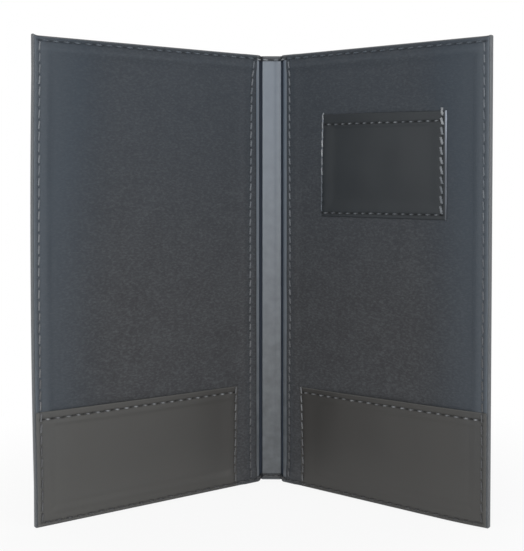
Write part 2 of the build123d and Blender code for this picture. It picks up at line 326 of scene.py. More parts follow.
handled = {
    # use has bowed the left leaf's outer edge, pricked up the top corners and lifted one at
    # the foot; the rim's thread carries a stronger painted highlight on the left, and the
    # lining's rim more painted light on the right
    "left": {"bow": 0.5, "bowReach": 104.0, "ear": 1.0, "lift": 0.0, "fuzz": 1.0,
             "rimWear": 0.05},
    "right": {"bow": 0.0, "bowReach": 1000.0, "ear": 0.45, "lift": 0.6, "fuzz": 0.6,
              "rimWear": 0.12},
}
useShape = {
    "bowMiddle": 128.0, "bowLeast": -0.55, "bowStart": 60.0,
    "ear": (136.8, 3.2, 8.0), "lift": (110.0, 28.0, 14.0),      # from q, over, how tall
}


def place(side, q, w, z):
    # Flat millimetres to the frame's metres, folded at the crease, with the marks of use
    turn, use = foldAngle * smooth(q, -folder["bendStart"], folder["bendEnd"]), handled[side]
    bow = use["bow"] - ((z - useShape["bowMiddle"]) / use["bowReach"]) ** 2
    bow = np.maximum(bow, useShape["bowLeast"]) * smooth(q, useShape["bowStart"], wide)
    start, over, high = useShape["ear"]
    ear = use["ear"] * np.clip((q - start) / over, 0, 1) ** 2 * smooth(z, tall - high, tall)
    start, over, high = useShape["lift"]
    lift = use["lift"] * np.clip((q - start) / over, 0, 1) ** 2 * (1 - smooth(z, 0.0, high))
    q, z = q + bow, z + ear + lift
    x = creaseX + q * np.cos(turn) - w * np.sin(turn)
    y = creaseY - q * np.sin(turn) - w * np.cos(turn)
    return np.stack([mirrored[side] * x, y, z], -1) / 1000


def bell(x, middle, width):
    return np.exp(-((x - middle) / width) ** 2)


def swell(q, z, seed, length, height):
    # Soft uneven swell of a glued sheet: a few crossed ripples, the same every time
    dice = np.random.default_rng(seed)
    total = 0 * q
    for ripple in range(7):
        heading, phase = dice.uniform(0, 2 * math.pi, 2)
        k = 2 * math.pi / (length * dice.uniform(0.6, 1.6))
        total += np.sin(k * (q * math.cos(heading) + z * math.sin(heading)) + phase)
    return total * height / 3


def rounding(distance, radius):
    # How far a rounded edge has fallen, at a distance in from the edge
    inside = np.clip(radius - distance, 0, radius)
    return radius - np.sqrt(radius ** 2 - inside ** 2)


def gridLines(start, stop, step, bands=(), rolls=()):
    # Lines across a sheet: closer in each band (low, high, step) and round its rolled ends,
    # whose two radii are given
    marks = {start, stop}
    for low, high, closeStep in bands:
        marks |= set(np.clip((low, high), start, stop))
    marks = sorted(marks)
    lines = [stop]
    for low, high in zip(marks, marks[1:]):
        middle = (low + high) / 2
        here = min([step] + [b[2] for b in bands if b[0] <= middle <= b[1]])
        count = max(1, math.ceil((high - low) / here))
        lines.extend(np.linspace(low, high, count, endpoint=False))
    for edge, inward, radius in zip((start, stop), (1, -1), rolls):
        lines = [x for x in lines if not 0 < (x - edge) * inward < radius * 1.2]
        lines += [edge + inward * radius * f for f in (0.0, 0.04, 0.15, 0.34, 0.6, 1.0)]
    return np.array(sorted(set(np.round(lines, 4))))


sewerWander = {"along": 0.18, "aside": 0.1}


def stitchesAlong(points, pitch, seed):
    # From needle hole to needle hole, evenly spaced but for the sewer's small wander
    points = np.array(points, float)
    legs = np.diff(points, axis=0)
    far = np.append(0, np.cumsum(np.hypot(*legs.T)))
    heading = np.arctan2(legs[:, 1], legs[:, 0])
    corners = far[1:-1][np.abs(np.sin(np.diff(heading))) > 0.9]     # each takes a hole of its own
    marks = [0, *corners, far[-1]]
    at = [np.linspace(a, b, max(1, round((b - a) / pitch)), endpoint=False)
          for a, b in zip(marks, marks[1:])]
    at = np.append(np.concatenate(at), far[-1])
    count = len(at) - 1
    dice = np.random.default_rng(seed)
    along, aside = sewerWander.values()
    at[1:-1] += dice.uniform(-along, along, count - 1)
    q = np.interp(at, far, points[:, 0]) + dice.uniform(-aside, aside, count + 1)
    z = np.interp(at, far, points[:, 1]) + dice.uniform(-aside, aside, count + 1)
    return np.stack([q[:-1], z[:-1], q[1:], z[1:]], -1)


seamPull = {
    "groove": 0.12, "grooveWidth": 0.6,         # under each stitch
    "hole": 0.45, "holeWide": 0.55,
    "holeLong": (1.5, 0.8),                     # along the seam, at level and upright stitches
    "uprightShade": 0.15, "footShade": 0.5, "headShade": 0.8,       # share of a pit's shadow
    "pucker": 0.16, "puckerWidth": 1.8,
    "reach": 6.5,
}


def pulledDown(q, z, side, *seamNames):
    # How far the seams draw a sheet down: a groove under each stitch, a pit at each hole,
    # and how much painted shade each spot gets in a pit
    pull, sunk = np.zeros_like(q), np.zeros_like(q)
    reach = seamPull["reach"]
    for q0, z0, q1, z1 in np.concatenate([runs[side][seam] for seam in seamNames]):
        near = (abs(q - (q0 + q1) / 2) < reach) & (abs(z - (z0 + z1) / 2) < reach)
        length = math.hypot(q1 - q0, z1 - z0)
        along = ((q[near] - q0) * (q1 - q0) + (z[near] - z0) * (z1 - z0)) / length
        off = ((q[near] - q0) * (z1 - z0) - (z[near] - z0) * (q1 - q0)) / length
        beyond = along - np.clip(along, 0, length)
        upright = abs(z1 - z0) / length
        holeLong = np.interp(upright, (0, 1), seamPull["holeLong"])
        dip = seamPull["groove"] * bell(np.hypot(off, beyond), 0, seamPull["grooveWidth"])
        faint = seamPull["footShade"] + (1 - seamPull["footShade"]) * smooth(z0, 4.0, 12.0)
        faint -= (1 - seamPull["headShade"]) * smooth(z0, tall - 10.0, tall - 4.0)
        faint *= (1 - upright + seamPull["uprightShade"] * upright)
        shade = 0 * dip
        for hole in (0, length):
            away = np.hypot(off, along - hole)
            dip += seamPull["pucker"] * bell(away, 0, seamPull["puckerWidth"])
            pit = bell(off, 0, seamPull["holeWide"]) * bell(along, hole, holeLong)
            dip = np.maximum(dip, seamPull["hole"] * pit)
            shade = np.maximum(shade, pit * faint)
        pull[near] = np.maximum(pull[near], dip)
        sunk[near] = np.maximum(sunk[near], shade)
    return pull, sunk


creases = {
    # where the strip falls into the crease and climbs out on to the leaf's board, and how
    # far past there its ledge with a painted highlight lies
    "left": {"fall": (-1.45, -0.75), "rise": (1.5, 2.2), "ledge": 0.7},
    "right": {"fall": (-0.25, 0.35), "rise": (2.35, 2.95), "ledge": 1.7},
}
creaseFloor = 0.45


def stripTop(side, q):
    # The smooth strip tucks into each crease, then lies over the leaf's board
    spineFace, leafFace = folder["spineFace"], folder["boardFace"] + sheetThick
    fallen = (spineFace - creaseFloor) * smooth(q, *creases[side]["fall"])
    return spineFace - fallen + (leafFace - creaseFloor) * smooth(q, *creases[side]["rise"])


def inCrease(side, q):
    # Share of shadow in the tight fold of the strip
    edge, ledge = creases[side]["fall"][0], creases[side]["rise"][1]
    return smooth(q, edge + 0.05, edge + 0.55) * (1 - smooth(q, ledge - 0.35, ledge))


def hemTop(side, q):
    # The cover sheet's turned-in edge: over the strip on the spine, down into the crease,
    # up again over the strip's wing, and down off the wing's end
    (edge, foot), wingEnd = creases[side]["fall"], folder["wingEnd"]
    onSpine = folder["spineFace"] + coverThick
    near = onSpine - 0.7 * smooth(q, edge - 0.2, foot + 0.1)
    near += 0.9 * smooth(q, foot + 0.3, foot + 1.7) + 0.4 * smooth(q, foot + 1.7, 3.3)
    return near - sheetThick * smooth(q, wingEnd - 1.0, wingEnd + 1.0)


linings = {
    "left": {"start": 4.4, "swell": (11, 46.0, 0.12)},
    "right": {"start": 5.9, "swell": (12, 46.0, 0.12)},
}
liningShape = {"inset": 0.8, "ramp": 3.6, "edgeRoll": 0.25}


def liningTop(side, q, z):
    ramp = liningShape["ramp"]
    fromRim = np.minimum.reduce([z, tall - z, wide - q])
    onTurnIn = smooth(folder["turnIn"] - fromRim, -ramp, 1.2)
    onWing = sheetThick * smooth(folder["wingEnd"] - q, -ramp, 1.2)
    flat = folder["boardFace"] + sheetThick
    ripple = swell(q, z, *linings[side]["swell"])
    return flat + coverThick * onTurnIn + onWing + (ripple + 0.05) * (1 - onTurnIn)


hem = {"thick": 0.45, "showing": 0.27, "depth": 7.0}      # the pockets' folded mouths
billPockets = {
    # inner edge at the foot and mouth, mouth's height at the inner and outer edge
    # and how much painted light the pocket gets at the inner and the outer edge
    "left": {"start": (18.6, 17.5), "mouth": (59.2, 60.2), "pale": (0.19, 0.46),
             "swell": (21, 40.0, 0.09)},
    "right": {"start": (17.6, 16.0), "mouth": (58.7, 60.5), "pale": (0.13, 0.33),
              "swell": (22, 40.0, 0.09)},
}
billShape = {"start": 17.0, "mouth": 60.0, "inset": 0.8, "turned": 3.2, "room": 1.0,
             "roll": 0.5, "cutRoll": 0.25}
cardPocket = {
    "across": (31.0, 114.5), "up": (159.4, 217.4),      # as if its corners were square
    "start": (30.9, 32.2), "end": (114.7, 114.4), "sill": (159.4, 159.2), "mouth": (217.8, 216.9),
    "turned": 4.0, "room": 0.8, "roll": 0.5, "swell": (31, 34.0, 0.08),
}


def billEdges(side, q, z):
    # The pocket's slanting inner edge and mouth, where a spot lies
    pocket = billPockets[side]
    return np.interp(z, (0, 60), pocket["start"]), np.interp(q, (17, 140), pocket["mouth"])


def billTop(side, q, z):
    inner, mouth = billEdges(side, q, z)
    fromInner, fromMouth = q - inner, mouth - z
    outer = wide - 5.6
    across = smooth(fromInner, 1.6, 30.0) * smooth(outer - q, 0.0, 9.0)
    ripple = swell(q, z, *billPockets[side]["swell"])
    rise = (billShape["room"] + ripple) * across * smooth(z, 5.0, 13.0)
    folded = hem["showing"] * smooth(hem["depth"] - fromMouth, -1.5, 0.8)
    turned = 0.3 * smooth(billShape["turned"] - fromInner, -9.0, 0.8)
    flat = liningTop(side, q, z) + sheetThick
    return flat + rise + folded * (0.35 + 0.65 * across) + turned


def cardEdges(q, z):
    # The card pocket's slanting start, end, sill and mouth, where a spot lies
    sides = [np.interp(z, (159, 218), cardPocket[edge]) for edge in ("start", "end")]
    return sides + [np.interp(q, (32, 114), cardPocket[edge]) for edge in ("sill", "mouth")]


def cardTop(side, q, z):
    start, end, sill, mouth = cardEdges(q, z)
    across = smooth(q - start, 1.4, 32.0) * smooth(end - q, 3.4, 32.0)
    ripple = swell(q, z, *cardPocket["swell"])
    rise = (cardPocket["room"] + ripple) * across * smooth(z - sill, 3.0, 26.0)
    fromEdge = np.minimum.reduce([q - start, end - q, z - sill])
    turned = 0.3 * smooth(cardPocket["turned"] - fromEdge, -7.0, 1.0)
    folded = 0.3 * smooth(hem["depth"] - mouth + z, -1.5, 0.8)
    return liningTop(side, q, z) + sheetThick + rise + np.maximum(turned, folded)


def innerFace(side, q, z):
    # The topmost sheet that the rim and hinge seams lie on
    face = np.where(q < linings[side]["start"], hemTop(side, q), liningTop(side, q, z))
    inner, mouth = billEdges(side, q, z)
    return np.where((q > inner) & (z < mouth), billTop(side, q, z), face)


# seams: each is a run of needle holes, measured on the photograph, and its stitch length

spineHead = [(-6.45, 251.2), (-1.0, 251.2)]
spineFoot = [(3.0, 2.3), (-1.0, 3.3), (-6.45, 3.3)]
seams = {
    "left": {
        "rim": (spineHead + [(3.0, 251.6), (136.6, 251.5), (136.7, 2.3)] + spineFoot, 5.85),
        "hinge": ([(6.6, 250.6), (7.9, 228.0), (8.8, 150.0), (8.8, 3.4)], 5.17),
        "billHem": ([(20.0, 56.0), (136.0, 56.3)], 5.48),
        "billSide": ([(18.9, 59.6), (19.9, 3.0)], 5.32),
    },
    "right": {
        "rim": (spineHead + [(3.0, 251.4), (136.5, 251.1), (136.6, 2.3)] + spineFoot, 5.85),
        "hinge": ([(8.0, 250.6), (8.6, 128.0), (8.0, 3.4)], 5.17),
        "billHem": ([(18.4, 55.9), (136.0, 56.5)], 5.54),
        "billSide": ([(17.4, 59.4), (19.0, 3.0)], 5.1),
        "cardHem": ([(34.6, 211.9), (110.8, 211.6)], 5.16),
        "cardNear": ([(32.9, 219.4), (32.0, 161.7)], 5.2),
        "cardFar": ([(111.7, 219.2), (111.6, 161.9)], 5.12),
        "cardSill": ([(32.2, 161.5), (111.4, 161.9)], 5.24),
    },
}
runs = {
    side: {name: stitchesAlong(points, pitch, 100 + i)
           for i, (name, (points, pitch)) in enumerate(table.items())}
    for side, table in seams.items()
}


# meshes

def addMesh(name, side, q, w, z, faces, material, marks):
    # The points and faces of a flat piece, with its wear and painted highlights, painted shade
    # and painted cool light; the flat place stays with each point, so that grain doesn't slide
    # when a sheet bends
    mesh = bpy.data.meshes.new(name)
    if side == "left":
        faces = [face[::-1] for face in faces]
    mesh.from_pydata(place(side, q, w, z).tolist(), [], faces)
    mesh.materials.append(material)
    across = mirrored[side] * (q + halfSpine)
    layer = mesh.attributes.new("restPlace", "FLOAT_VECTOR", "POINT")
    layer.data.foreach_set("vector", np.stack([across, w, z], -1).astype(np.float32).ravel())
    for label, values in zip(("rubbed", "sunk", "cool"), marks):
        layer = mesh.attributes.new(label, "FLOAT", "POINT")
        layer.data.foreach_set("value", values.astype(np.float32))
    mesh.shade_smooth()
    mesh.set_sharp_from_angle(angle=math.radians(55))
    return addObject(name, mesh)


def gridFaces(first, rows, columns):
    # Quads between rows of vertices that were added one after another
    starts = [first + row * columns + k for row in range(rows - 1) for k in range(columns - 1)]
    return [[a, a + 1, a + columns + 1, a + columns] for a in starts]


def sheetFaces(count, columns, rows):
    # A closed sheet: the whole grid above, chosen columns and rows below, walls between
    nq, nz = count
    above = lambda i, j: i * nz + j
    under = {(i, j): nq * nz + a * len(rows) + b
             for a, i in enumerate(columns) for b, j in enumerate(rows)}
    faces = [[above(i, j), above(i + 1, j), above(i + 1, j + 1), above(i, j + 1)]
             for i in range(nq - 1) for j in range(nz - 1)]
    for i, k in zip(columns, columns[1:]):
        for j, m in zip(rows, rows[1:]):
            faces.append([under[i, j], under[i, m], under[k, m], under[k, j]])
        for j, flip in ((0, 1), (nz - 1, -1)):
            chain = [above(n, j) for n in range(i, k + 1)]
            faces.append(([under[i, j], under[k, j]] + chain[::-1])[::flip])
    for j, m in zip(rows, rows[1:]):
        for i, flip in ((0, -1), (nq - 1, 1)):
            chain = [above(i, n) for n in range(j, m + 1)]
            faces.append(([under[i, j], under[i, m]] + chain[::-1])[::flip])
    return faces


def addSheet(name, side, q, z, top, bottom, marks, material, columns, rows):
    # q, z, top, bottom and the marks are grids over the flat sheet; only the chosen columns
    # and rows go on underneath
    nq, nz = q.shape
    columns, rows = sorted({*columns, 0, nq - 1}), sorted({*rows, 0, nz - 1})
    low = np.ix_(columns, rows)
    q, z, w = (np.append(over, under[low]) for over, under in
               ((q, q), (z, z), (top, bottom)))
    marks = [np.append(mark, np.zeros(len(columns) * len(rows))) for mark in marks]
    return addMesh(name, side, q, w, z, sheetFaces((nq, nz), columns, rows), material, marks)


def joinBodies(piece):
    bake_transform(piece)


liningWear = {
    # painted light, paler towards the rim, and painted highlights in stripes beside the seams, on
    # the head's ridge and along the cut edge
    "ramps": ((0.22, 104.0, 135.0), (0.18, 137.0, 138.0)),      # how pale, from, to
    "stripes": ((0.13, 8.4, 2.4), (0.12, 133.8, 2.4), (0.08, 136.0, 2.2), (0.5, 139.2, 0.8)),
    "headStripe": (0.1, 247.6, 1.2),                            # how pale, middle, width
    "cool": 0.6,
}


def makeLining(side):
    # Vinyl lining, glued over the board and its turned-in edges and caught in the rim seam
    inset, roll = liningShape["inset"], liningShape["edgeRoll"]
    start, end = linings[side]["start"], wide - inset
    low, high = inset, tall - inset
    qLines = gridLines(start, end, 2.6, [(start, 14.5, 0.5), (129.5, end, 0.5)], (roll, roll))
    zLines = gridLines(low, high, 0.62, [(low, 10, 0.45), (high - 10, high, 0.45)], (roll, roll))
    q, z = np.meshgrid(qLines, zLines, indexing="ij")
    face = liningTop(side, q, z)
    fromEdge = np.minimum.reduce([q - start, end - q, z - low, high - z])
    pull, sunk = pulledDown(q, z, side, "rim", "hinge")
    top = face - pull - rounding(fromEdge, roll)
    bottom = np.minimum(face - sheetThick, top - 0.1)
    # painted light and painted highlights, from the table above
    pale, middle, width = liningWear["headStripe"]
    rubbed = pale * bell(z, middle, width) + handled[side]["rimWear"] * smooth(q, 133.0, 135.5)
    for pale, rampStart, rampEnd in liningWear["ramps"]:
        rubbed += pale * smooth(q, rampStart, rampEnd)
    for pale, middle, width in liningWear["stripes"]:
        rubbed += pale * bell(q, middle, width)
    # painted shade along the lining's inner cut edge beside the crease
    sunk = np.maximum(sunk * 0.9, 0.7 * bell(q, start, 0.35))
    # painted cool light towards the top and the rim
    cool = 0.1 + liningWear["cool"] * (smooth(z, 80.0, 250.0) + smooth(q, 90.0, 134.0))
    marks = (np.clip(rubbed, 0, 1), sunk, np.clip(cool, 0, 1))
    columns = np.searchsorted(qLines, (12.5, 15.5, 129.0, 132.5)).tolist()
    rows = np.searchsorted(zLines, (5.5, 9.5, 60, 120, 190, 244.5, 248.5)).tolist()
    piece = addSheet(f"{side}LiningVinyl", side, q, z, top, bottom, marks, liningVinyl,
                     columns, rows)
    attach(piece, f"{side}_leaf")
    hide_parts(f"{side}_lining")


strip = {
    "swell": (41, 16.0, 0.06),
    # the streak is a painted shadow line down the spine's face
    "dent": (2.9, 0.7, 0.06), "streak": (2.7, 0.8, 0.16),       # middle, width, depth or shadow
    "edgeWear": 0.3, "ledgeWear": 0.6, "headWear": 0.2, "cool": 0.75,
}


def makeStrip(side):
    # Half of the smooth strip: spine's face, down through the crease, wing under the lining
    low, high = coverThick, tall - coverThick
    qLines = gridLines(-halfSpine, folder["wingEnd"], 1.5,
                       [(-halfSpine, -2.4, 0.7), (-2.4, 4.2, 0.15), (4.2, 5.6, 0.3)])
    zLines = gridLines(low, high, 1.6)
    q, z = np.meshgrid(qLines, zLines, indexing="ij")
    across = mirrored[side] * (q + halfSpine)
    ripple = swell(across, z * 0.35, *strip["swell"]) * smooth(-q, -1.0, 2.0)
    middle, width, depth = strip["dent"]
    top = stripTop(side, q) + ripple - depth * bell(across, middle, width)
    # painted highlights on the strip's edge and on the ledge past the crease, stronger higher up,
    # and painted light growing towards the head
    edge = creases[side]["fall"][0] - 0.4
    ledge = creases[side]["rise"][1] + creases[side]["ledge"]
    rubbed = strip["edgeWear"] * bell(q, edge, 0.4) + strip["ledgeWear"] * bell(q, ledge, 0.75)
    rubbed *= 0.4 + 0.6 * smooth(z, 20.0, 180.0)
    rubbed += strip["headWear"] * smooth(z, 30.0, 110.0)
    # painted shadow in the crease and in a streak down the spine's face; painted cool light
    # towards the head
    middle, width, shadow = strip["streak"]
    sunk = np.maximum(inCrease(side, q), shadow * bell(across, middle, width))
    marks = (rubbed, sunk, strip["cool"] * smooth(z, 60.0, 250.0))
    piece = addSheet(f"{side}SpineStrip", side, q, z, top, top - sheetThick, marks,
                     stripLeatherette, range(len(qLines)), range(0, len(zLines), 6))
    joinBodies(piece)
    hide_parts("spine_strip", f"{side}_strip_fold", f"{side}_strip_wing")


def pocketUnderside(side, q, z, face, top, intoTurned, fromMouth, roll):
    # Under the leatherette, thicker where it is folded double, down to the lining at most
    folded = smooth(np.maximum(intoTurned, hem["depth"] - fromMouth), -0.15, 0.15)
    bottom = face + rounding(fromMouth, roll) - sheetThick - hem["thick"] * folded
    return np.minimum(np.maximum(bottom, liningTop(side, q, z) - 0.02), top - 0.03)


def makeBillPocket(side):
    # Leatherette pocket: hemmed mouth, one turned edge, two edges caught in the rim seam
    inset, roll, cutRoll = billShape["inset"], billShape["roll"], billShape["cutRoll"]
    start, head, end = billShape["start"], billShape["mouth"], wide - inset
    qLines = gridLines(start, end, 1.6, [(start, 24.0, 0.45), (128.0, end, 0.5)], (roll, cutRoll))
    zLines = gridLines(inset, head, 0.62, [(inset, 7, 0.45), (head - 10.0, head, 0.45)],
                       (cutRoll, roll))
    q, z = np.meshgrid(qLines, zLines, indexing="ij")
    fromMouth = head - z
    # slide the grid on to the pocket's own slanting inner edge and mouth
    inner, mouth = billEdges(side, q, z)
    q += (inner - start) * (1 - smooth(q, start, 60.0))
    z += (mouth - head) * smooth(z, 20.0, head)
    fromInner = q - billEdges(side, q, z)[0]
    face = billTop(side, q, z)
    pull, sunk = pulledDown(q, z, side, "rim", "billHem", "billSide")
    cut = rounding(np.minimum(end - q, z - inset), cutRoll)
    top = face - pull - cut - rounding(np.minimum(fromInner, fromMouth), roll)
    intoTurned = billShape["turned"] - fromInner
    bottom = pocketUnderside(side, q, z, face, top, intoTurned, fromMouth, roll)
    # painted light, paler towards the outer edge and at the foot, with painted highlights on the
    # outer edge and along the mouth's and inner edge's folds
    low, high = billPockets[side]["pale"]
    rubbed = low + (high - low) * np.clip((q - 18.0) / 120.0, 0, 1)
    rubbed += 0.06 * (1 - smooth(z, 5.0, 35.0)) + 0.2 * smooth(q, 137.0, 138.0)
    rubbed = np.maximum(rubbed, 0.7 * bell(np.minimum(fromMouth, fromInner), 0, 0.5))
    # painted cool light towards the outer edge
    cool = 0.7 * smooth(q, 114.0, 138.0) * smooth(z, 5.0, 50.0)
    piece = addSheet(f"{side}BillPocket", side, q, z, top, bottom, (rubbed, sunk, cool),
                     billLeatherette, range(0, len(qLines), 2), range(len(zLines)))
    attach(piece, f"{side}_leaf")
    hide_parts(f"{side}_bill_pocket")


def makeCardPocket():
    # Leatherette card pocket on the right leaf: three turned edges and a hemmed mouth
    side, roll = "right", cardPocket["roll"]
    (left, right), (low, high) = cardPocket["across"], cardPocket["up"]
    qLines = gridLines(left, right, 1.5, [(left, 35.5, 0.4), (108.5, right, 0.4)], (roll, roll))
    zLines = gridLines(low, high, 0.62, [(low, 165.0, 0.45), (208.0, high, 0.45)], (roll, roll))
    flatQ, flatZ = np.meshgrid(qLines, zLines, indexing="ij")
    start, end, sill, mouth = cardEdges(flatQ, flatZ)
    shareQ, shareZ = (flatQ - left) / (right - left), (flatZ - low) / (high - low)
    q = flatQ + (start - left) * (1 - shareQ) + (end - right) * shareQ
    z = flatZ + (sill - low) * (1 - shareZ) + (mouth - high) * shareZ
    face = cardTop(side, q, z)
    fromEdge = np.minimum.reduce([flatQ - left, right - flatQ, flatZ - low])
    fromMouth, intoTurned = high - flatZ, cardPocket["turned"] - fromEdge
    pull, sunk = pulledDown(q, z, side, "cardHem", "cardNear", "cardFar", "cardSill")
    top = face - pull - rounding(np.minimum(fromEdge, fromMouth), roll)
    bottom = pocketUnderside(side, q, z, face, top, intoTurned, fromMouth, roll)
    # painted highlights on the two upright turned edges, strongest towards the mouth
    fading = 0.15 + 0.2 * smooth(shareZ, 0.0, 0.25) + 0.65 * smooth(shareZ, 0.45, 1.0)
    rubbed = np.maximum(bell(flatQ, right - 0.25, 0.5), 0.8 * bell(flatQ, left + 0.5, 0.45))
    piece = addSheet("cardPocket", side, q, z, top, bottom, (rubbed * fading, sunk, 0 * q),
                     cardLeatherette, range(0, len(qLines), 2), range(len(zLines)))
    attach(piece, "right_leaf")
    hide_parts("card_pocket")


cover = {
    "cornerRadius": 0.7, "edgeRadius": 0.65, "spineHem": 2.9,
    "hemWidens": (6.2, 7.2),        # from the spine's hem to the leaf's deeper turn-in
    "joinInset": 1.6, "backSwell": (51, 55.0, 0.05),
    "footRise": 1.5, "headDrop": 0.4, "edgeWear": 0.9,
}


def spineEnds(q):
    # The sheet is drawn in at the spine's two ends, where no board holds it out
    drawn = 1 - smooth(q, -1.0, 3.0)
    return cover["footRise"] * drawn, tall - cover["headDrop"] * drawn


def outlineOfLeaf():
    # Path round the half cover, each point with its way in: foot from the spine's middle,
    # outer side, top back again
    r = cover["cornerRadius"]
    qLines = gridLines(-halfSpine, wide - r, 1.2, [(-2.4, 6.0, 0.3)])
    zLines = gridLines(r, tall - r, 0.65)
    turn = [(math.sin(a), math.cos(a)) for a in np.radians(np.linspace(0, 90, 7)[1:-1])]
    path = [(q, spineEnds(q)[0], 0.0, 1.0) for q in qLines]
    path += [(wide - r + r * s, r - r * c, -s, c) for s, c in turn]
    path += [(wide, z, -1.0, 0.0) for z in zLines]
    path += [(wide - r + r * c, tall - r + r * s, -c, -s) for s, c in turn]
    path += [(q, spineEnds(q)[1], 0.0, -1.0) for q in qLines[::-1]]
    return np.array(path), qLines, zLines


def insetPath(path, depth):
    # The outline moved in by depth, mitred at the two corners
    r = cover["cornerRadius"]
    q, z, inQ, inZ = path.T
    bent, deeper, least = np.minimum(depth, r), np.maximum(depth - r, 0), np.maximum(depth, r)
    q = q + inQ * bent - deeper * (inQ != 0)
    z = z + inZ * bent + deeper * np.sign(inZ)
    q = np.where(abs(inZ) == 1, np.minimum(q, wide - least), q)
    z = np.where(abs(inQ) == 1, np.clip(z, least, tall - least), z)
    return q, z


def makeCover(side):
    # Half of the cover sheet: back of the leaf, rolled edge, turned-in lip, inner side
    path, qLines, zLines = outlineOfLeaf()
    r, join, spineHem = cover["edgeRadius"], cover["joinInset"], cover["spineHem"]
    height = hemTop(side, path[:, 0])
    lip = spineHem + (folder["turnIn"] - spineHem) * smooth(path[:, 0], *cover["hemWidens"])
    arc = np.radians(np.linspace(0, 90, 5))
    # round the sheet's section: how far in from the outline, and how high
    section = [(join, -coverThick)]
    section += [(r - r * np.sin(a), -coverThick + r - r * np.cos(a)) for a in arc]
    section += [(-0.04, height / 2 - 0.1)]
    section += [(r - r * np.cos(a), height - r + r * np.sin(a)) for a in arc]
    section += [(r + (lip - r) * f, height) for f in (0.2, 0.4, 0.6, 0.8, 0.95)]
    section += [(lip, height - 0.12), (lip, height - coverThick)]
    section += [(r + 0.05, height - coverThick), (r + 0.05, 0.02), (join, 0.02)]
    rings, count = len(section), len(path)
    q, z = np.concatenate([insetPath(path, depth) for depth, level in section], axis=1)
    w = np.concatenate([level + 0 * height for depth, level in section])
    # the back between the joins, on a grid
    gridQ, gridZ = [*qLines[:-1], wide - join], [join, *zLines[1:-1], tall - join]
    backQ, backZ = np.meshgrid(gridQ, gridZ, indexing="ij")
    lowEnd, highEnd = spineEnds(backQ)
    backZ = (backZ + lowEnd * smooth(-backZ, -30, -join)
             - (tall - highEnd) * smooth(backZ, tall - 30, tall - join))
    base, nq, nz = len(q), len(qLines), len(gridZ)
    faces = gridFaces(0, rings, count) + gridFaces(base, nq, nz)
    q, z, w = (np.append(part, back) for part, back in
               ((q, backQ), (z, backZ), (w, 0 * backQ - coverThick)))
    # inner side: long faces from foot to top, the last one along the whole outer side
    inner, last = (rings - 1) * count, rings * count - 1
    faces += [[inner + i, inner + i + 1, last - i - 1, last - i] for i in range(nq - 2)]
    faces.append([inner + k for k in range(nq - 2, count - nq + 2)])
    # middle of the spine, where the two halves meet
    foot, head = ([ring * count + k for ring in range(rings)] for k in (0, count - 1))
    faces.append(foot + head[::-1] + [base + j for j in range(nz)][::-1])
    isBack = w < -coverThick + 0.01
    away = np.minimum.reduce([z, tall - z, wide - q])
    across = mirrored[side] * (q + halfSpine)
    ripple = swell(across, z, *cover["backSwell"]) * smooth(away, 2, 12)
    pull, sunk = pulledDown(q, z, side, "rim", "hinge")
    w += np.where(isBack, pull * 0.8 + ripple, 0)
    isHem = (np.arange(len(w)) < base) & (q < linings[side]["start"] + 0.5)
    isHem &= abs(w - hemTop(side, q)) < 0.02
    w -= np.where(isHem, pull, 0)
    # painted shade in the needle pits, and in the crease where the hem dips into it
    sunk = np.maximum(sunk * (isBack | isHem), 0.6 * inCrease(side, q) * isHem)
    # painted highlight on the rolled edges, painted cool light towards the top
    marks = (cover["edgeWear"] * bell(away, 0, 1.0), sunk, smooth(z, 60.0, 250.0))
    piece = addMesh(f"{side}CoverLeatherette", side, q, w, z, faces, coverLeatherette, marks)
    tidyMesh(piece.data)
    joinBodies(piece)
    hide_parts("spine_cover", f"{side}_cover", f"{side}_cover_fold")


def tidyMesh(mesh):
    # Welds the corners' folded points and drops faces that shrank to nothing
    work = bmesh.new()
    work.from_mesh(mesh)
    bmesh.ops.remove_doubles(work, verts=work.verts, dist=2e-6)
    bmesh.ops.dissolve_degenerate(work, edges=work.edges, dist=1e-6)
    bmesh.ops.recalc_face_normals(work, faces=work.faces)
    work.to_mesh(mesh)
    work.free()


for side in ("left", "right"):
    makeCover(side)
    makeStrip(side)
    makeLining(side)
    makeBillPocket(side)
    print(side, "sheets made")
makeCardPocket()


# thread: one twisted tube a stitch, diving into its two needle holes

